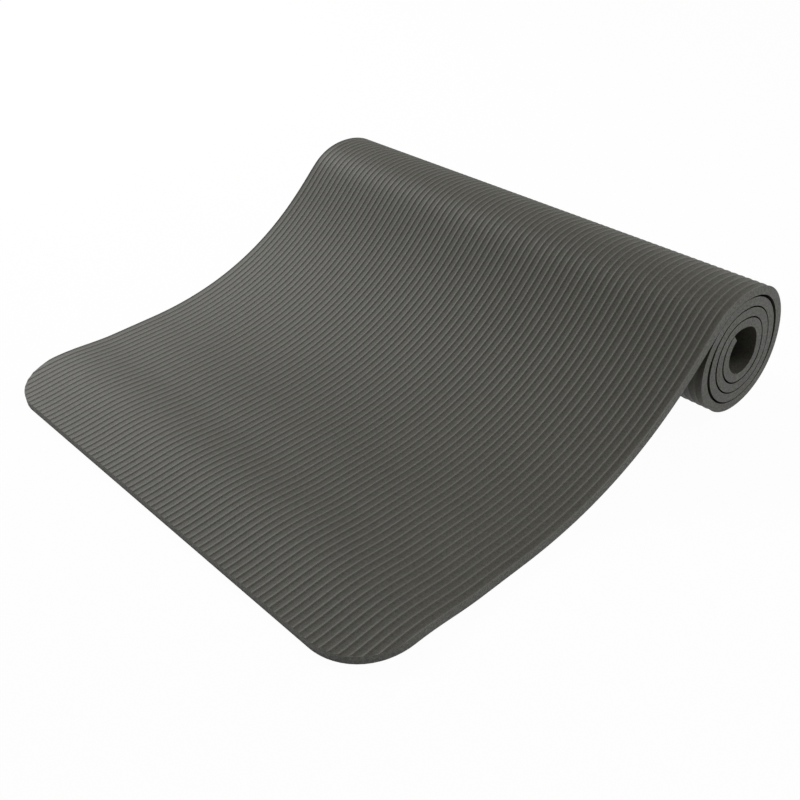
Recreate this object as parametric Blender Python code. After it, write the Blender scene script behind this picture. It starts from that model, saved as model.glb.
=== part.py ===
"""A ribbed foam exercise mat, partly unrolled: its front lies on the floor and the rest is still wound up.

Units are metres, +Z is up. X runs across the mat, +Y runs from the free front edge to the roll.
Seen from +X the sheet runs along the floor, rises over the roll and winds clockwise to its core.
The sheet is one piece of foam. Here it is divided across its length into sections, joined where the foam
bends: each section's origin is on the line it bends about, halfway through the thickness, and it is
parented to the section before it. Turning a section about its local Z bends the mat there. The sections
from the second one of the crest to the core stay wound, and touch face to face.
"""
import math

import bmesh
import bpy
from mathutils import Vector

# The sheet
MAT_WIDTH = 0.61
MAT_THICKNESS = 0.0095
FRONT_CORNER_RADIUS = 0.062

# The stretch on the floor: a shallow hump left by the winding, then a flat panel
FRONT_END_LENGTH = 0.066
FRONT_FLAP_LENGTH = 0.037
FRONT_FLAP_COUNT = 2
HUMP_HEIGHT = 0.004
FLOOR_PANEL_LENGTH = 0.055

# The rise from the floor panel to the top of the roll
RISE_REACH = 0.330
RISE_FOOT_PULL = 0.172
RISE_TOP_PULL = 0.035
RISE_COUNT = 5

# The roll, wound outwards from its core. A share is the wall's place at each eighth of a turn, from the top
CORE_RADIUS = 0.0308
CORE_SHARES = (1.04, 0.97, 0.95, 1.07, 1.045, 0.96, 0.95, 0.93, 0.86)
WINDING_GAP = 0.002
OUTER_GAP_SHARES = (0.45, 1.8, 1.9, 1.0, 0.5, 1.2, 2.2, 0.9)
SECOND_GAP_SHARES = (0.9, 0.65, 0.65, 0.65, 0.65, 0.85, 1.25, 1.0)
THIRD_GAP_SHARES = (0.9, 0.65, 0.85, 1.3, 0.8, 1.0, 1.1, 0.65)
CREST_GAP_SHARE = 0.25
CREST_TURN_SHARE = 0.125
CORE_TURN_SHARE = 0.89
CREST_COUNT = 2
TURN_COUNTS = {"outer_turn": 13, "second_turn": 12, "third_turn": 11, "core_turn": 8}

# The bends: how far each one in front of the roll can turn upwards
SEAM_GAP = 0.0003
RELIEF_CLEARANCE = 0.0001
FREE_END_LIFT_DEGREES = 25
ROLL_LIFT_DEGREES = 8

# Modelling
EIGHTHS = 8
FACETS = 6
CORNER_FACETS = 10
PATH_STEPS = 160
CUTTER_OVERRUN = 0.01
MERGE_DISTANCE = 0.000003
CREASE_DEGREES = 30
FOAM_COLOR = (0.095, 0.090, 0.075, 1.0)
FOAM_ROUGHNESS = 0.75


def smooth_between(values, place):
    """The value at a place along a smooth curve through evenly spaced values."""
    first = min(max(int(place), 1), len(values) - 3)
    part = place - first
    before, start, end, after = values[first - 1:first + 3]
    slope = end - before
    bow = 2 * before - 5 * start + 4 * end - after
    twist = 3 * (start - end) + after - before
    return start + part * (slope + part * (bow + part * twist)) / 2


def turn_radii():
    """The mid-line's radius at each eighth of a turn, from a quarter turn before the top to the core."""
    walls = [CORE_RADIUS * share for share in CORE_SHARES]
    inner = walls
    for shares in (THIRD_GAP_SHARES, SECOND_GAP_SHARES, OUTER_GAP_SHARES):
        inner = [wall + MAT_THICKNESS + WINDING_GAP * share for wall, share in zip(inner, shares)]
        walls = inner + walls
    lead = [wall + MAT_THICKNESS + WINDING_GAP * CREST_GAP_SHARE for wall in inner[-2:]]
    return lead + walls


def roll_points():
    """The mid-line from where the sheet meets the roll to its inner end, about the roll's centre."""
    radii = turn_radii()
    turns = (len(TURN_COUNTS) - 1) + CORE_TURN_SHARE
    steps = round(PATH_STEPS * turns)
    points = []
    for step in range(steps + 1):
        turn = -CREST_TURN_SHARE + (turns + CREST_TURN_SHARE) * step / steps
        radius = smooth_between(radii, turn * EIGHTHS + 2)
        angle = math.tau * turn
        points.append((turn, Vector((radius * math.sin(angle), radius * math.cos(angle)))))
    return points


def rise_points(foot, top, top_direction):
    """An S-shaped curve from the floor to the roll."""
    reach_foot = foot + Vector((RISE_FOOT_PULL, 0))
    reach_top = top - top_direction * RISE_TOP_PULL
    points = []
    for step in range(PATH_STEPS + 1):
        far = step / PATH_STEPS
        near = 1 - far
        points.append(near ** 3 * foot + 3 * near * near * far * reach_foot
                      + 3 * near * far * far * reach_top + far ** 3 * top)
    return points


def front_points(foot):
    """The free end's hump and the flat panel behind it."""
    hump_length = FRONT_END_LENGTH + FRONT_FLAP_COUNT * FRONT_FLAP_LENGTH
    points = []
    for step in range(PATH_STEPS + 1):
        along = hump_length * step / PATH_STEPS
        height = HUMP_HEIGHT * math.sin(math.pi * step / PATH_STEPS) ** 2
        points.append(foot + Vector((along - hump_length - FLOOR_PANEL_LENGTH, height)))
    return points + [foot]


class MidLine:
    """The sheet's mid-line as (y, z) points, read by the distance along it."""

    def __init__(self):
        wound = roll_points()
        outer = [point for turn, point in wound if turn < 1]
        centre = Vector((0, MAT_THICKNESS / 2 - min(point.y for point in outer)))
        roll = [point + centre for turn, point in wound]
        foot = Vector((-RISE_REACH, MAT_THICKNESS / 2))
        front = front_points(foot)
        rise = rise_points(foot, roll[0], (roll[1] - roll[0]).normalized())
        self.points = front + rise[1:] + roll[1:]
        self.lengths = [0.0]
        for start, end in zip(self.points, self.points[1:]):
            self.lengths.append(self.lengths[-1] + (end - start).length)
        self.rise_start = self.lengths[len(front) - 1]
        roll_first = len(front) + len(rise) - 2
        self.rise_end = self.lengths[roll_first]
        self.turns = [turn for turn, point in wound]
        self.turn_lengths = self.lengths[roll_first:]

    def at(self, distance):
        """The point at a distance, with the heading there in radians."""
        last = len(self.points) - 2
        index = min(max(self.span(self.lengths, distance), 0), last)
        start, end = self.lengths[index], self.lengths[index + 1]
        part = (distance - start) / (end - start)
        point = self.points[index].lerp(self.points[index + 1], part)
        low, high = max(index - 1, 0), min(index + 2, last + 1)
        before = self.points[index + 1] - self.points[low]
        after = self.points[high] - self.points[index]
        direction = before.normalized().lerp(after.normalized(), part)
        return point, math.atan2(direction.y, direction.x)

    @staticmethod
    def span(marks, value):
        """The index of the last mark at or below a value."""
        low, high = 0, len(marks) - 1
        while high - low > 1:
            middle = (low + high) // 2
            if marks[middle] <= value:
                low = middle
            else:
                high = middle
        return low

    def length_at_turn(self, turn):
        """The distance along the mid-line at which the roll has made so many turns past its top."""
        index = min(self.span(self.turns, turn), len(self.turns) - 2)
        part = (turn - self.turns[index]) / (self.turns[index + 1] - self.turns[index])
        start, end = self.turn_lengths[index], self.turn_lengths[index + 1]
        return start + (end - start) * part


def evenly(start, end, count):
    """The ends of equal steps from start to end, without start."""
    return [start + (end - start) * step / count for step in range(1, count + 1)]


def section_plan(line):
    """Each section's name, start and end, from the free end to the core."""
    names = ["front_end"]
    ends = [FRONT_END_LENGTH]
    for flap in range(FRONT_FLAP_COUNT):
        names.append(f"front_flap_{flap + 1}")
        ends.append(ends[-1] + FRONT_FLAP_LENGTH)
    ends = [end * (line.rise_start - FLOOR_PANEL_LENGTH) / ends[-1] for end in ends]
    names.append("floor_panel")
    ends.append(line.rise_start)
    names += [f"rise_{count + 1}" for count in range(RISE_COUNT)]
    ends += evenly(line.rise_start, line.rise_end, RISE_COUNT)
    names += [f"crest_{count + 1}" for count in range(CREST_COUNT)]
    ends += evenly(line.rise_end, line.length_at_turn(0), CREST_COUNT)
    for turn, (name, count) in enumerate(TURN_COUNTS.items()):
        last = turn + 1 if turn + 1 < len(TURN_COUNTS) else turn + CORE_TURN_SHARE
        names += [f"{name}_{number + 1}" for number in range(count)]
        ends += [line.length_at_turn(place) for place in evenly(turn, last, count)]
    starts = [0.0] + ends[:-1]
    return list(zip(names, starts, ends))


def seam_lift(name):
    """How far the bend behind a section can turn upwards, in radians: not at all inside the wound roll."""
    if name.startswith("front"):
        return math.radians(FREE_END_LIFT_DEGREES)
    bends = name == "floor_panel" or name.startswith("rise") or name == "crest_1"
    return math.radians(ROLL_LIFT_DEGREES) if bends else 0


def seam_gaps(plan):
    """How far apart each seam's faces are at the bottom and at the top, where they close as it bends."""
    gaps = []
    for name, start, end in plan[:-1]:
        lift = seam_lift(name)
        relief = MAT_THICKNESS / 2 * math.tan(lift / 2) + RELIEF_CLEARANCE
        gaps.append((SEAM_GAP / 2, SEAM_GAP / 2 + relief) if lift else (0, 0))
    return gaps


def offset_point(line, distance, height, slide):
    """A point so far above the mid-line, slid along the sheet."""
    point, heading = line.at(distance)
    along = Vector((math.cos(heading), math.sin(heading)))
    above = Vector((-along.y, along.x))
    return point + above * height + along * slide


def section_outline(line, start, end, start_gap, end_gap):
    """A section's side outline: the underside forwards, the end face, the top backwards, the start face."""
    half = MAT_THICKNESS / 2
    under, over = [], []
    for facet in range(FACETS + 1):
        distance = start + (end - start) * facet / FACETS
        gap, way = (start_gap, 1) if facet == 0 else (end_gap, -1) if facet == FACETS else ((0, 0), 0)
        under.append(offset_point(line, distance, -half, way * gap[0]))
        over.append(offset_point(line, distance, half, way * gap[1]))
    end_middle = offset_point(line, end, 0, -end_gap[0])
    start_middle = offset_point(line, start, 0, start_gap[0])
    return under + [end_middle] + over[::-1] + [start_middle]


def all_outlines(line, plan):
    """Every section's outline, drawn back from the seams that bend."""
    gaps = [(0, 0)] + seam_gaps(plan) + [(0, 0)]
    return [section_outline(line, start, end, gaps[index], gaps[index + 1])
            for index, (name, start, end) in enumerate(plan)]


def foam_material(name):
    """The dark warm grey of the foam's skin."""
    material = bpy.data.materials.new(name + "_foam")
    material.use_nodes = True
    shader = material.node_tree.nodes["Principled BSDF"]
    shader.inputs["Base Color"].default_value = FOAM_COLOR
    shader.inputs["Roughness"].default_value = FOAM_ROUGHNESS
    shader.inputs["Metallic"].default_value = 0.0
    material.diffuse_color = FOAM_COLOR
    return material


def extruded_mesh(name, outline, thickness):
    """A flat outline, drawn as a curve and extruded both ways, as a closed mesh."""
    curve = bpy.data.curves.new(name, "CURVE")
    curve.dimensions = "2D"
    curve.fill_mode = "BOTH"
    curve.extrude = thickness / 2
    spline = curve.splines.new("POLY")
    spline.points.add(len(outline) - 1)
    for point, place in zip(spline.points, outline):
        point.co = (place.x, place.y, 0, 1)
    spline.use_cyclic_u = True
    drawn = bpy.data.objects.new(name, curve)
    bpy.context.scene.collection.objects.link(drawn)
    evaluated = drawn.evaluated_get(bpy.context.evaluated_depsgraph_get())
    mesh = bpy.data.meshes.new_from_object(evaluated)
    bpy.data.objects.remove(drawn)
    bpy.data.curves.remove(curve)
    mesh.name = name
    shape = bmesh.new()
    shape.from_mesh(mesh)
    bmesh.ops.remove_doubles(shape, verts=shape.verts, dist=MERGE_DISTANCE)
    bmesh.ops.recalc_face_normals(shape, faces=shape.faces)
    shape.to_mesh(mesh)
    shape.free()
    mesh.shade_smooth()
    mesh.set_sharp_from_angle(angle=math.radians(CREASE_DEGREES))
    return mesh


def side_rotation():
    """Turns a flat outline's X to the mat's +Y and its Y to +Z."""
    return (math.pi / 2, 0, math.pi / 2)


def add_section(name, outline, hinge, parent, parent_hinge, collection):
    """One section, with its origin on the line it bends about, on the section it hangs on."""
    local = [point - hinge for point in outline]
    section = bpy.data.objects.new(name, extruded_mesh(name, local, MAT_WIDTH))
    section.data.materials.append(foam_material(name))
    collection.objects.link(section)
    if parent:
        section.parent = parent
        section.location = (*(hinge - parent_hinge), 0)
    else:
        section.location = (0, hinge.x, hinge.y)
        section.rotation_euler = side_rotation()
    return section


def corner_outline(side, front):
    """What a rounded front corner leaves of a square one, seen from above, on one side of the mat."""
    radius = FRONT_CORNER_RADIUS
    edge = MAT_WIDTH / 2
    points = []
    for facet in range(CORNER_FACETS + 1):
        angle = math.pi / 2 * facet / CORNER_FACETS
        across = edge - radius + radius * math.sin(angle)
        along = front + radius - radius * math.cos(angle)
        points.append(Vector((side * across, along)))
    outside = edge + CUTTER_OVERRUN
    points.append(Vector((side * outside, front + radius)))
    points.append(Vector((side * outside, front - CUTTER_OVERRUN)))
    points.append(Vector((side * (edge - radius), front - CUTTER_OVERRUN)))
    return points


def round_front_corners(section, front, cutters):
    """Cuts both corners of the free end to a radius."""
    for side, word in ((1, "right"), (-1, "left")):
        name = f"front_corner_{word}"
        depth = 2 * (MAT_THICKNESS + HUMP_HEIGHT + CUTTER_OVERRUN)
        cutter = bpy.data.objects.new(name, extruded_mesh(name, corner_outline(side, front), depth))
        cutters.objects.link(cutter)
        cutter.hide_render = True
        cutter.display_type = "WIRE"
        cut = section.modifiers.new(name, "BOOLEAN")
        cut.operation = "DIFFERENCE"
        cut.solver = "EXACT"
        cut.object = cutter


def new_collection(name):
    """A collection in the scene."""
    collection = bpy.data.collections.new(name)
    bpy.context.scene.collection.children.link(collection)
    return collection


def build_mat():
    """The mat's sections, with the free end's corners cut round."""
    line = MidLine()
    plan = section_plan(line)
    outlines = all_outlines(line, plan)
    reach = [point.x for outline in outlines for point in outline]
    middle = Vector(((min(reach) + max(reach)) / 2, 0))
    outlines = [[point - middle for point in outline] for outline in outlines]
    seams = [line.at(end)[0] - middle for name, start, end in plan[:-1]]
    mat = new_collection("fitness_mat")
    cutters = new_collection("cutters")

    names = [name for name, start, end in plan]
    root = names.index("floor_panel")
    sections = {}
    hinges = {root: outlines[root][0]}
    sections[root] = add_section(names[root], outlines[root], hinges[root], None, None, mat)
    for index in range(root - 1, -1, -1):
        hinges[index] = seams[index]
        sections[index] = add_section(names[index], outlines[index], hinges[index],
                                      sections[index + 1], hinges[index + 1], mat)
    for index in range(root + 1, len(plan)):
        hinges[index] = seams[index - 1]
        sections[index] = add_section(names[index], outlines[index], hinges[index],
                                      sections[index - 1], hinges[index - 1], mat)
    round_front_corners(sections[0], min(reach) - middle.x, cutters)
    print(f"flat length {line.lengths[-1]:.3f} m, {len(plan)} sections")


for old in list(bpy.data.objects):
    bpy.data.objects.remove(old)
build_mat()
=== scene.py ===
"""The looks of a ribbed foam exercise mat, partly unrolled.

The mat is one continuous sheet. Here it is swept along its own line in pieces that meet halfway along the
rigid sections, each piece spanning one joint. In the roll, which stays wound, one piece goes from the middle
of each turn's first section to the next turn's.
Every length is in metres, and every share is a part of the length that it is named after.
"""
import math

import bpy
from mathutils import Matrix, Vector


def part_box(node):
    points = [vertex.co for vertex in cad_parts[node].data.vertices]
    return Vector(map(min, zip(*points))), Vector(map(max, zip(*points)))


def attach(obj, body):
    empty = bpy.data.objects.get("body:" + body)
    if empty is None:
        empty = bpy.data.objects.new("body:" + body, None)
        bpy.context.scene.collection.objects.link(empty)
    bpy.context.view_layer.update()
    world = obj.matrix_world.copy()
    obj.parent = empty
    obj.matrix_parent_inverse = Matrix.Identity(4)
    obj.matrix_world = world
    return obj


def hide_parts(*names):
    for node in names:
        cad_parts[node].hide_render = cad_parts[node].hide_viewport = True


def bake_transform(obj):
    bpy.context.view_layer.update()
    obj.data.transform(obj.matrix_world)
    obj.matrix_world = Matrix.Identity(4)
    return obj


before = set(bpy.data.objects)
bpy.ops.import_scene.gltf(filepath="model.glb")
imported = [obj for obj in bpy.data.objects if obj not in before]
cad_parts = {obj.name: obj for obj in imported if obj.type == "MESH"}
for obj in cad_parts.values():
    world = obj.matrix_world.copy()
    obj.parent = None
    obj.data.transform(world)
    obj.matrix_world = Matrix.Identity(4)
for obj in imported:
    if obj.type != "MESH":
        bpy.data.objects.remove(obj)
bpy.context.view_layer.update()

# The sheet
MAT_WIDTH = 0.61
MAT_THICKNESS = 0.0095
FRONT_CORNER_RADIUS = 0.062
RIB_COUNT = 75
RIB_DEPTH = 0.00065
RIB_SHARPNESS = 5.0
RIB_STEPS = 10
RIB_CROWDING = 0.6
UNDERSIDE_STEPS = 12

# The stretch on the floor
FRONT_END_LENGTH = 0.066
FRONT_FLAP_LENGTH = 0.037
FRONT_FLAP_COUNT = 2
HUMP_HEIGHT = 0.004
FLOOR_PANEL_LENGTH = 0.055

# The rise to the top of the roll
RISE_REACH = 0.330
RISE_FOOT_PULL = 0.172
RISE_TOP_PULL = 0.035
RISE_COUNT = 5

# The roll, wound outwards from its core. A share is the wall's place at each eighth of a turn, from the top
CORE_RADIUS = 0.0308
CORE_SHARES = (1.04, 0.97, 0.95, 1.07, 1.045, 0.96, 0.95, 0.93, 0.86)
WINDING_GAP = 0.002
OUTER_GAP_SHARES = (0.45, 1.8, 1.9, 1.0, 0.5, 1.2, 2.2, 0.9)
SECOND_GAP_SHARES = (0.9, 0.65, 0.65, 0.65, 0.65, 0.85, 1.25, 1.0)
THIRD_GAP_SHARES = (0.9, 0.65, 0.85, 1.3, 0.8, 1.0, 1.1, 0.65)
CREST_GAP_SHARE = 0.25
CREST_TURN_SHARE = 0.125
CORE_TURN_SHARE = 0.89
CREST_COUNT = 2
TURN_COUNTS = {"outer_turn": 13, "second_turn": 12, "third_turn": 11, "core_turn": 8}

# The body that stays wound, and the section that it starts with
ROLL_BODY = "wound_roll"
ROLL_START = "crest_2"

# How finely the sheet is made
EIGHTHS = 8
PATH_STEPS = 160
ROW_STEP = 0.0042
MEETING_STEP = 0.0001
CORNER_STEPS = 15
MERGE_DISTANCE = 0.00001
CREASE_DEGREES = 38

# The moulded skin. A scale is in cells for each metre, and a weight is its part in the shade
SKIN_DARK = (0.034, 0.0330, 0.0265, 1)
SKIN_PALE = (0.090, 0.0875, 0.0715, 1)
SKIN_SPECULAR = 0.25
SKIN_ROUGHNESS = 0.5
PEBBLE_SCALE = 1100
PEBBLE_WEIGHT = 0.5
SPECK_SCALE = 420
SPECK_WEIGHT = 1.3
SKIN_CLOUD_SCALE = 9
SKIN_CLOUD_WEIGHT = 0.3
# The rib crests' part in the shade: a painted highlight on the crests, which leaves the flutes darker as
# painted shade
RIDGE_PAINTED_HIGHLIGHT_WEIGHT = 0.6
SKIN_SHADE_OFFSET = 0.70
SKIN_BUMP = {"Strength": 0.35, "Distance": 0.00035}
SKIN_CELL_SCALE = 1500.0
BUMP_WEIGHT = 0.6

# The cut faces
CUT_PALE = (0.258, 0.256, 0.240, 1)
CUT_DARK = (0.122, 0.121, 0.112, 1)
CUT_SPECULAR = 0.3
CUT_ROUGHNESS = 0.8
CUT_CELL_SCALE = 1300.0
CUT_CELL_WEIGHT = 0.6
CUT_CLOUD_SCALE = 30
CUT_CLOUD_WEIGHT = 0.4
GRAIN_SCALE = 380
GRAIN_WEIGHT = 2.2
CUT_SHADE_OFFSET = 0.9
CUT_BUMP = {"Strength": 0.4, "Distance": 0.0003}
CUT_FACE_LEVEL = 0.5

# The camera
CAMERA_PLACE = (0.74363, -0.61811, 0.65629)
CAMERA_TURN_DEGREES = (54.8338, 2.7779, 46.9957)
CAMERA_LENS = 47.184
CAMERA_FILM = 36

# The light
WORLD_STRENGTH = 0.25
KEY = {"place": (-1.9, 0.15, 1.25), "size": 0.7, "power": 39}
FILL = {"place": (1.0, 0.8, 1.3), "size": 0.7, "power": 8}
LAMP_TARGET = (0.0, 0.0, 0.05)
FLOOR_SIZE = 12
FLOOR_GLOW = 0.97
FLOOR_GREY = (0.8, 0.8, 0.8, 1)
WHITE = (1, 1, 1, 1)


def smooth_between(values, place):
    """The value at a place along a smooth curve through evenly spaced values."""
    first = min(max(int(place), 1), len(values) - 3)
    part = place - first
    before, start, end, after = values[first - 1:first + 3]
    slope = end - before
    bow = 2 * before - 5 * start + 4 * end - after
    twist = 3 * (start - end) + after - before
    return start + part * (slope + part * (bow + part * twist)) / 2


def turn_radii():
    """The mid-line's radius at each eighth of a turn, from a quarter turn before the top to the core."""
    walls = [CORE_RADIUS * share for share in CORE_SHARES]
    inner = walls
    for shares in (THIRD_GAP_SHARES, SECOND_GAP_SHARES, OUTER_GAP_SHARES):
        inner = [wall + MAT_THICKNESS + WINDING_GAP * share for wall, share in zip(inner, shares)]
        walls = inner + walls
    lead = [wall + MAT_THICKNESS + WINDING_GAP * CREST_GAP_SHARE for wall in inner[-2:]]
    return lead + walls


def roll_points():
    """The mid-line from where the sheet meets the roll to its inner end, about the roll's centre."""
    radii = turn_radii()
    turns = (len(TURN_COUNTS) - 1) + CORE_TURN_SHARE
    steps = round(PATH_STEPS * turns)
    points = []
    for step in range(steps + 1):
        turn = -CREST_TURN_SHARE + (turns + CREST_TURN_SHARE) * step / steps
        radius = smooth_between(radii, turn * EIGHTHS + 2)
        angle = math.tau * turn
        points.append((turn, Vector((radius * math.sin(angle), radius * math.cos(angle)))))
    return points


def rise_points(foot, top, top_direction):
    """An S-shaped curve from the floor to the roll."""
    reach_foot = foot + Vector((RISE_FOOT_PULL, 0))
    reach_top = top - top_direction * RISE_TOP_PULL
    points = []
    for step in range(PATH_STEPS + 1):
        far = step / PATH_STEPS
        near = 1 - far
        points.append(near ** 3 * foot + 3 * near * near * far * reach_foot
                      + 3 * near * far * far * reach_top + far ** 3 * top)
    return points


def front_points(foot):
    """The free end's hump and the flat panel behind it."""
    hump_length = FRONT_END_LENGTH + FRONT_FLAP_COUNT * FRONT_FLAP_LENGTH
    points = []
    for step in range(PATH_STEPS + 1):
        along = hump_length * step / PATH_STEPS
        height = HUMP_HEIGHT * math.sin(math.pi * step / PATH_STEPS) ** 2
        points.append(foot + Vector((along - hump_length - FLOOR_PANEL_LENGTH, height)))
    return points + [foot]


def last_mark(marks, value):
    """The index of the last mark at or below a value, with at least one mark after it."""
    low, high = 0, len(marks) - 1
    while high - low > 1:
        middle = (low + high) // 2
        if marks[middle] <= value:
            low = middle
        else:
            high = middle
    return low


class MidLine:
    """The sheet's mid-line as (y, z) points, read by the distance along it."""

    def __init__(self):
        wound = roll_points()
        outer = [point for turn, point in wound if turn < 1]
        centre = Vector((0, MAT_THICKNESS / 2 - min(point.y for point in outer)))
        roll = [point + centre for turn, point in wound]
        foot = Vector((-RISE_REACH, MAT_THICKNESS / 2))
        front = front_points(foot)
        rise = rise_points(foot, roll[0], (roll[1] - roll[0]).normalized())
        self.points = front + rise[1:] + roll[1:]
        self.lengths = [0.0]
        for start, end in zip(self.points, self.points[1:]):
            self.lengths.append(self.lengths[-1] + (end - start).length)
        self.rise_start = self.lengths[len(front) - 1]
        roll_first = len(front) + len(rise) - 2
        self.rise_end = self.lengths[roll_first]
        self.turns = [turn for turn, point in wound]
        self.turn_lengths = self.lengths[roll_first:]
        self.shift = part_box("front_end")[0].y - self.points[0].x

    def at(self, distance):
        """The place at a distance along the mid-line, halfway across the mat."""
        index = last_mark(self.lengths, distance)
        start, end = self.lengths[index], self.lengths[index + 1]
        point = self.points[index].lerp(self.points[index + 1], (distance - start) / (end - start))
        return Vector((0, point.x + self.shift, point.y))

    def length_at_turn(self, turn):
        """The distance along the mid-line at which the roll has made so many turns past its top."""
        index = last_mark(self.turns, turn)
        part = (turn - self.turns[index]) / (self.turns[index + 1] - self.turns[index])
        start, end = self.turn_lengths[index], self.turn_lengths[index + 1]
        return start + (end - start) * part


def evenly(start, end, count):
    """The ends of equal steps from start to end, without start."""
    return [start + (end - start) * step / count for step in range(1, count + 1)]


def section_plan(line):
    """Each section's name and middle, from the free end to the core, and the sheet's whole length."""
    names = ["front_end"]
    ends = [FRONT_END_LENGTH]
    for flap in range(FRONT_FLAP_COUNT):
        names.append(f"front_flap_{flap + 1}")
        ends.append(ends[-1] + FRONT_FLAP_LENGTH)
    ends = [end * (line.rise_start - FLOOR_PANEL_LENGTH) / ends[-1] for end in ends]
    names.append("floor_panel")
    ends.append(line.rise_start)
    names += [f"rise_{count + 1}" for count in range(RISE_COUNT)]
    ends += evenly(line.rise_start, line.rise_end, RISE_COUNT)
    names += [f"crest_{count + 1}" for count in range(CREST_COUNT)]
    ends += evenly(line.rise_end, line.length_at_turn(0), CREST_COUNT)
    for turn, (name, count) in enumerate(TURN_COUNTS.items()):
        last = turn + 1 if turn + 1 < len(TURN_COUNTS) else turn + CORE_TURN_SHARE
        names += [f"{name}_{number + 1}" for number in range(count)]
        ends += [line.length_at_turn(place) for place in evenly(turn, last, count)]
    starts = [0.0] + ends[:-1]
    middles = [(start + end) / 2 for start, end in zip(starts, ends)]
    return names, middles, ends[-1]


def row_distances(start, end):
    """Where a piece has its rows: fine at both ends, and closer along the rounded corners."""
    near, far = start + MEETING_STEP, end - MEETING_STEP
    count = math.ceil((far - near) / ROW_STEP)
    rows = [near] + evenly(near, far, count)
    corner = [FRONT_CORNER_RADIUS * (1 - math.cos(math.pi / 2 * step / CORNER_STEPS))
              for step in range(1, CORNER_STEPS + 1)]
    if near < corner[-1]:
        behind = [row for row in rows if row > corner[-1] + MEETING_STEP]
        rows = [near] + [row for row in corner if near < row < far] + behind
        if rows[-1] != far:
            rows.append(far)
    return [start] + rows + [end]


class Value:
    """A node's output, used in ordinary sums: each sum adds the Math node that does it."""

    def __init__(self, graph, socket):
        self.graph = graph
        self.socket = socket

    def sum(self, operation, *others):
        return self.graph.value("ShaderNodeMath", {"operation": operation}, (self,) + others)

    def __add__(self, other):
        return self.sum("ADD", other)

    def __mul__(self, other):
        return self.sum("MULTIPLY", other)

    def __sub__(self, other):
        return self.sum("SUBTRACT", other)

    def __truediv__(self, other):
        return self.sum("DIVIDE", other)

    def __pow__(self, other):
        return self.sum("POWER", other)

    def __rsub__(self, other):
        return self.graph.value("ShaderNodeMath", {"operation": "SUBTRACT"}, (other, self))

    def __neg__(self):
        return 0 - self

    def __abs__(self):
        return self.sum("ABSOLUTE")

    __radd__ = __add__
    __rmul__ = __mul__


class Graph:
    """Adds nodes to a tree."""

    def __init__(self, tree):
        self.tree = tree

    def node(self, kind, settings, inputs=()):
        """A node of a kind, its settings made first, then its inputs by name or in order."""
        made = self.tree.nodes.new(kind)
        for name, value in settings.items():
            setattr(made, name, value)
        places = inputs.items() if isinstance(inputs, dict) else enumerate(inputs)
        for place, value in places:
            if isinstance(value, Value):
                self.tree.links.new(value.socket, made.inputs[place])
            elif value is not None:
                made.inputs[place].default_value = value
        return made

    def value(self, kind, settings, inputs=(), output=0):
        """One output of a new node."""
        return Value(self, self.node(kind, settings, inputs).outputs[output])

    def parts(self, vector):
        """A vector's x, y and z."""
        split = self.node("ShaderNodeSeparateXYZ", {}, (vector,))
        return [Value(self, socket) for socket in split.outputs]

    def vector(self, x, y, z):
        return self.value("ShaderNodeCombineXYZ", {}, (x, y, z))

    def colour_between(self, share, first, second):
        """A colour that goes from first to second as share goes from 0 to 1."""
        settings = {"data_type": "RGBA", "clamp_factor": True}
        return self.value("ShaderNodeMix", settings, {0: share, 6: first, 7: second}, 2)


def sheet_inputs(tree):
    """Names the tree's inputs and gives their identifiers by name."""
    kinds = {"Sheet line": "Geometry", "Width": "Float", "Thickness": "Float", "Corner radius": "Float",
             "Start": "Float", "Ribs": "Int", "Rib depth": "Float", "Rib sharpness": "Float",
             "Rib steps": "Int", "Rib crowding": "Float", "Underside steps": "Int",
             "Skin": "Material", "Cut": "Material"}
    found = {}
    for name, kind in kinds.items():
        socket = tree.interface.new_socket(name=name, in_out="INPUT", socket_type="NodeSocket" + kind)
        found[name] = socket.identifier
    tree.interface.new_socket(name="Sheet", in_out="OUTPUT", socket_type="NodeSocketGeometry")
    return found


def rib_height(graph, given, place):
    """The ribbed face's height over the mid-line, at a share of the way across the sheet."""
    ridge = ((place * given["Ribs"] * math.tau).sum("COSINE") * 0.5 + 0.5) ** given["Rib sharpness"]
    return given["Thickness"] / 2 - (1 - ridge) * given["Rib depth"]


def rib_profile(graph, given):
    """The sheet's cross-section as a closed line: ribs over the top, then back along the plain underside."""
    index = graph.value("GeometryNodeInputIndex", {})
    top_steps = given["Ribs"] * given["Rib steps"]
    count = top_steps + given["Underside steps"] + 2
    ring = graph.value("GeometryNodeCurvePrimitiveCircle", {"mode": "RADIUS"}, {"Resolution": count})
    on_top = index.sum("LESS_THAN", top_steps + 0.5)
    along_ribs = index / given["Rib steps"]
    whole = along_ribs.sum("FLOOR")
    part = along_ribs - whole
    crowded = part - given["Rib crowding"] * (part * math.tau).sum("SINE") / math.tau
    top_place = (whole + crowded) / given["Ribs"]
    under_place = 1 - (index - top_steps - 1) / given["Underside steps"]
    x = (top_place * on_top + under_place * (1 - on_top) - 0.5) * given["Width"]
    height = rib_height(graph, given, top_place) * on_top - given["Thickness"] / 2 * (1 - on_top)
    placed = graph.value("GeometryNodeSetPosition", {}, {0: ring, "Position": graph.vector(x, -height, 0)})
    return store(graph, placed, "height", height)


def store(graph, geometry, name, value, kind="FLOAT"):
    """Keeps a value on every point under a name."""
    settings = {"data_type": kind, "domain": "POINT"}
    return graph.value("GeometryNodeStoreNamedAttribute", settings,
                       {"Geometry": geometry, "Name": name, "Value": value})


def kept(graph, name, kind="FLOAT"):
    """A value that was kept under a name."""
    return graph.value("GeometryNodeInputNamedAttribute", {"data_type": kind}, {"Name": name})


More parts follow.
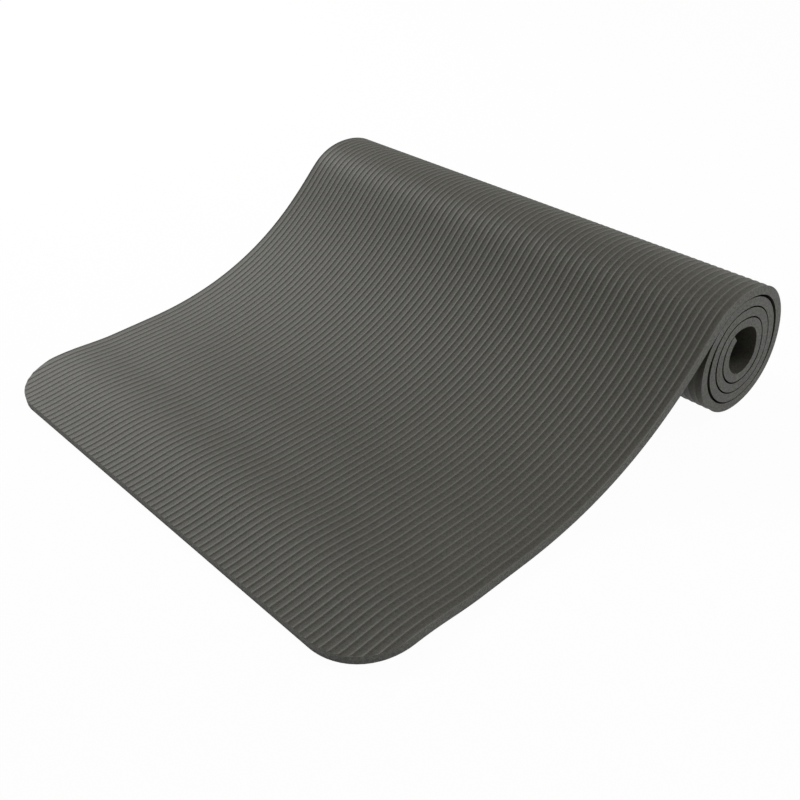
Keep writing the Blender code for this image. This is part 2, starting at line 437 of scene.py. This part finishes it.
def sheet_line(graph, given):
    """The line with its distance along the sheet, and the direction that the sheet faces, kept on it."""
    length = graph.value("GeometryNodeSplineParameter", {}, (), "Length")
    line = store(graph, given["Sheet line"], "along", length + given["Start"])
    tangent = graph.value("GeometryNodeInputTangent", {})
    facing = graph.value("ShaderNodeVectorMath", {"operation": "CROSS_PRODUCT"}, ((1, 0, 0), tangent))
    line = store(graph, line, "facing", facing, "FLOAT_VECTOR")
    return graph.value("GeometryNodeSetCurveNormal", {"mode": "FREE"}, {"Curve": line, "Normal": (1, 0, 0)})


def round_corners(graph, given, mesh):
    """Draws the sheet's edges in along the rounded corners of its free end, cutting the ribs there."""
    radius = given["Corner radius"]
    inside = (radius - kept(graph, "along")).sum("MAXIMUM", 0)
    edge = given["Width"] / 2 - radius + (radius * radius - inside * inside).sum("MAXIMUM", 0).sum("SQRT")
    x, y, z = graph.parts(graph.value("GeometryNodeInputPosition", {}))
    drawn = x.sum("MINIMUM", edge).sum("MAXIMUM", -edge)
    height = kept(graph, "height")
    change = rib_height(graph, given, drawn / given["Width"] + 0.5) - height
    raised = graph.value("ShaderNodeVectorMath", {"operation": "SCALE"},
                         {"Vector": kept(graph, "facing", "FLOAT_VECTOR"),
                          "Scale": change * height.sum("GREATER_THAN", 0)})
    moved = graph.value("GeometryNodeSetPosition", {},
                        {0: mesh, "Position": graph.vector(drawn, y, z), "Offset": raised})
    return graph.value("GeometryNodeMergeByDistance", {}, {0: moved, "Distance": MERGE_DISTANCE})


def faces_cut(graph):
    """True on the faces across the thickness, which the cutter left."""
    normal = graph.value("GeometryNodeInputNormal", {})
    facing = kept(graph, "facing", "FLOAT_VECTOR")
    level = graph.value("ShaderNodeVectorMath", {"operation": "DOT_PRODUCT"}, (normal, facing), "Value")
    return abs(level).sum("LESS_THAN", CUT_FACE_LEVEL)


def sheet_tree():
    """The tree that sweeps the ribbed cross-section along a line."""
    tree = bpy.data.node_groups.new("ribbed sheet", "GeometryNodeTree")
    identifiers = sheet_inputs(tree)
    graph = Graph(tree)
    entry = graph.node("NodeGroupInput", {})
    given = {name: Value(graph, entry.outputs[name]) for name in identifiers}
    line = sheet_line(graph, given)
    profile = rib_profile(graph, given)
    swept = graph.value("GeometryNodeCurveToMesh", {},
                        {"Curve": line, "Profile Curve": profile, "Fill Caps": True})
    mesh = round_corners(graph, given, swept)
    real = graph.value("GeometryNodeRealizeInstances", {}, (mesh,))
    skin = graph.value("GeometryNodeSetMaterial", {}, {"Geometry": real, "Material": given["Skin"]})
    cut = graph.value("GeometryNodeSetMaterial", {},
                      {"Geometry": skin, "Selection": faces_cut(graph), "Material": given["Cut"]})
    leave = graph.node("NodeGroupOutput", {})
    tree.links.new(cut.socket, leave.inputs[0])
    return tree, identifiers


def line_object(name, places):
    """A straight-jointed line through places."""
    curve = bpy.data.curves.new(name, "CURVE")
    curve.dimensions = "3D"
    spline = curve.splines.new("POLY")
    spline.points.add(len(places) - 1)
    for point, place in zip(spline.points, places):
        point.co = (*place, 1)
    made = bpy.data.objects.new(name, curve)
    bpy.context.scene.collection.objects.link(made)
    return made


def swept_sheet(name, line, start, end, tree, identifiers, finishes):
    """One piece of the sheet as a plain mesh."""
    path = line_object(name + "_line", [line.at(distance) for distance in row_distances(start, end)])
    modifier = path.modifiers.new("sheet", "NODES")
    modifier.node_group = tree
    values = {"Width": MAT_WIDTH, "Thickness": MAT_THICKNESS, "Corner radius": FRONT_CORNER_RADIUS,
              "Start": start, "Ribs": RIB_COUNT, "Rib depth": RIB_DEPTH, "Rib sharpness": RIB_SHARPNESS,
              "Rib steps": RIB_STEPS, "Rib crowding": RIB_CROWDING, "Underside steps": UNDERSIDE_STEPS,
              "Skin": finishes[0], "Cut": finishes[1]}
    for key, value in values.items():
        modifier[identifiers[key]] = value
    graph = bpy.context.evaluated_depsgraph_get()
    mesh = bpy.data.meshes.new_from_object(path.evaluated_get(graph), depsgraph=graph)
    bpy.data.objects.remove(path)
    mesh.name = name
    mesh.shade_smooth()
    mesh.set_sharp_from_angle(angle=math.radians(CREASE_DEGREES))
    mesh.attributes.remove(mesh.attributes["facing"])
    piece = bpy.data.objects.new(name, mesh)
    bpy.context.scene.collection.objects.link(piece)
    return piece


def bend_span(line, start, end):
    """Between which two points a piece bends, so that both of its end faces stay whole."""
    first, last = line.at(start), line.at(end)
    chord = (last - first).normalized()
    half = MAT_THICKNESS / 2

    def reach(distance, step):
        place = line.at(distance)
        heading = (line.at(distance + step) - place).normalized() * (1 if step > 0 else -1)
        rim = half * math.sqrt(max(0, 1 - heading.dot(chord) ** 2))
        return (place - first).dot(chord), rim

    near, near_rim = reach(start + MEETING_STEP, MEETING_STEP)
    far, far_rim = reach(end - MEETING_STEP, -MEETING_STEP)
    return (first + chord * (near + near_rim + MEETING_STEP),
            first + chord * (far - far_rim - MEETING_STEP))


def dress(piece, *nodes):
    """Hides the parts of model.glb that a piece of the sheet stands for."""
    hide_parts(*nodes)


def add_bending_pieces(line, names, middles, made):
    """A half piece at the free end, then a piece over each joint as far as the roll."""
    first = swept_sheet("foam_free_end", line, 0.0, middles[0], *made)
    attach(first, names[0])
    dress(first, names[0])
    rolled = names.index(ROLL_START)
    for index in range(rolled):
        before, after = names[index], names[index + 1]
        start, end = middles[index], middles[index + 1]
        piece = swept_sheet("foam_to_" + after, line, start, end, *made)
        ROLL_BODY if after == ROLL_START else after
        bend_span(line, start, end)
        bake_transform(piece)
        dress(piece, after)


def add_roll(line, names, middles, length, made):
    """The wound roll, a piece for each turn."""
    starts = [names.index(ROLL_START)] + [names.index(name + "_1") for name in list(TURN_COUNTS)[1:]]
    ends = starts[1:] + [len(names) - 1]
    for number, (name, first, last) in enumerate(zip(TURN_COUNTS, starts, ends)):
        end = length if number == len(ends) - 1 else middles[last]
        piece = swept_sheet("foam_" + name, line, middles[first], end, *made)
        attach(piece, ROLL_BODY)
        dress(piece, *names[first + 1:last + 1])


def add_sheet(finishes):
    """The whole sheet, from its free end to the core."""
    line = MidLine()
    names, middles, length = section_plan(line)
    made = (*sheet_tree(), finishes)
    add_bending_pieces(line, names, middles, made)
    add_roll(line, names, middles, length, made)


def new_finish(name):
    """A material with a plain shader, its graph and that shader."""
    material = bpy.data.materials.new(name)
    material.use_nodes = True
    tree = material.node_tree
    tree.nodes.clear()
    graph = Graph(tree)
    shader = graph.node("ShaderNodeBsdfPrincipled", {})
    output = graph.node("ShaderNodeOutputMaterial", {})
    tree.links.new(shader.outputs[0], output.inputs["Surface"])
    return material, graph, shader


def feed(graph, shader, **links):
    """Links values to a shader's sockets, an underscore standing for a space."""
    for name, value in links.items():
        graph.tree.links.new(value.socket, shader.inputs[name.replace("_", " ")])


def read(graph, name):
    """A value that the sheet's tree kept under a name, for a material."""
    return graph.value("ShaderNodeAttribute", {"attribute_name": name}, (), "Fac")


def sheet_place(graph):
    """A place that stays with the foam as it bends: across, along and through the sheet."""
    across = graph.parts(graph.value("ShaderNodeTexCoord", {}, (), "Object"))[0]
    return graph.vector(across, read(graph, "along"), read(graph, "height"))


def noise(graph, place, scale, detail, roughness=0.5):
    """Soft noise from 0 to 1."""
    return graph.value("ShaderNodeTexNoise", {},
                       {"Vector": place, "Scale": scale, "Detail": detail, "Roughness": roughness}, "Fac")


def skin_finish():
    """The moulded skin: dark, finely pebbled, with a dull sheen, and a painted highlight that makes the rib
    crests paler than the flutes.
    """
    material, graph, shader = new_finish("foam skin")
    shader.inputs["Specular IOR Level"].default_value = SKIN_SPECULAR
    place = sheet_place(graph)
    pebbles = noise(graph, place, PEBBLE_SCALE, 3, 0.6)
    cells = graph.value("ShaderNodeTexVoronoi", {"feature": "SMOOTH_F1"},
                        {"Vector": place, "Scale": SKIN_CELL_SCALE, "Smoothness": 0.6})
    clouds = noise(graph, place, SKIN_CLOUD_SCALE, 3)
    specks = noise(graph, place, SPECK_SCALE, 2, 0.6)
    # How high a point sits on a rib crest, used to paint a highlight there
    ridge = ((read(graph, "height") - (MAT_THICKNESS / 2 - RIB_DEPTH)) / RIB_DEPTH).sum("MAXIMUM", 0)
    shade = (pebbles * PEBBLE_WEIGHT + specks * SPECK_WEIGHT + clouds * SKIN_CLOUD_WEIGHT
             + ridge * RIDGE_PAINTED_HIGHLIGHT_WEIGHT - SKIN_SHADE_OFFSET)
    colour = graph.colour_between(shade, SKIN_DARK, SKIN_PALE)
    relief = pebbles * BUMP_WEIGHT + cells * BUMP_WEIGHT
    bump = graph.value("ShaderNodeBump", {}, {**SKIN_BUMP, "Height": relief})
    feed(graph, shader, Base_Color=colour, Roughness=pebbles * 0.2 + SKIN_ROUGHNESS, Normal=bump)
    return material


def cut_finish():
    """The cut foam: paler and matt, its tiny cells open."""
    material, graph, shader = new_finish("foam cut")
    shader.inputs["Specular IOR Level"].default_value = CUT_SPECULAR
    place = sheet_place(graph)
    cells = graph.value("ShaderNodeTexVoronoi", {"feature": "F1"},
                        {"Vector": place, "Scale": CUT_CELL_SCALE})
    clouds = noise(graph, place, CUT_CLOUD_SCALE, 3)
    grain = noise(graph, place, GRAIN_SCALE, 2, 0.7)
    shade = cells * CUT_CELL_WEIGHT + clouds * CUT_CLOUD_WEIGHT + grain * GRAIN_WEIGHT - CUT_SHADE_OFFSET
    colour = graph.colour_between(shade, CUT_PALE, CUT_DARK)
    bump = graph.value("ShaderNodeBump", {"invert": True}, {**CUT_BUMP, "Height": cells})
    feed(graph, shader, Base_Color=colour, Roughness=clouds * 0.1 + CUT_ROUGHNESS, Normal=bump)
    return material


def seen_directly(graph):
    """1 for what the camera, a reflection or a clear body looks at, and 0 for what lights the object."""
    path = graph.node("ShaderNodeLightPath", {})
    rays = [Value(graph, path.outputs[name])
            for name in ("Is Camera Ray", "Is Glossy Ray", "Is Transmission Ray")]
    return rays[0].sum("MAXIMUM", rays[1]).sum("MAXIMUM", rays[2])


def add_floor():
    """A plain white floor that keeps a soft trace of the mat's shadow."""
    bpy.ops.mesh.primitive_plane_add(size=FLOOR_SIZE)
    floor = bpy.context.object
    floor.name = "floor"
    material = bpy.data.materials.new("white floor")
    material.use_nodes = True
    tree = material.node_tree
    tree.nodes.clear()
    graph = Graph(tree)
    matt = graph.value("ShaderNodeBsdfDiffuse", {}, {"Color": FLOOR_GREY})
    glow = graph.value("ShaderNodeEmission", {}, {"Color": WHITE, "Strength": 1.0})
    mixed = graph.value("ShaderNodeMixShader", {}, (seen_directly(graph) * FLOOR_GLOW, matt, glow))
    output = graph.node("ShaderNodeOutputMaterial", {})
    tree.links.new(mixed.socket, output.inputs["Surface"])
    floor.data.materials.append(material)


def add_world():
    """A plain white surround, seen as white and lighting softly."""
    world = bpy.data.worlds.new("studio")
    bpy.context.scene.world = world
    world.use_nodes = True
    tree = world.node_tree
    tree.nodes.clear()
    graph = Graph(tree)
    strength = WORLD_STRENGTH + seen_directly(graph) * (1 - WORLD_STRENGTH)
    light = graph.value("ShaderNodeBackground", {}, {"Color": WHITE, "Strength": strength})
    output = graph.node("ShaderNodeOutputWorld", {})
    tree.links.new(light.socket, output.inputs["Surface"])


def add_lamp(name, place, size, power):
    """A soft square lamp aimed at the mat."""
    light = bpy.data.lights.new(name, "AREA")
    light.energy = power
    light.size = size
    lamp = bpy.data.objects.new(name, light)
    lamp.location = place
    aim = Vector(LAMP_TARGET) - Vector(place)
    lamp.rotation_euler = aim.to_track_quat("-Z", "Y").to_euler()
    bpy.context.scene.collection.objects.link(lamp)


def add_camera():
    """The photograph's view."""
    lens = bpy.data.cameras.new("camera")
    lens.lens = CAMERA_LENS
    lens.sensor_width = CAMERA_FILM
    camera = bpy.data.objects.new("camera", lens)
    camera.location = CAMERA_PLACE
    camera.rotation_euler = [math.radians(angle) for angle in CAMERA_TURN_DEGREES]
    bpy.context.scene.collection.objects.link(camera)
    bpy.context.scene.camera = camera


add_camera()
add_world()
add_lamp("key", **KEY)
add_lamp("fill", **FILL)
add_floor()
add_sheet((skin_finish(), cut_finish()))
bpy.context.scene.view_settings.view_transform = "Standard"
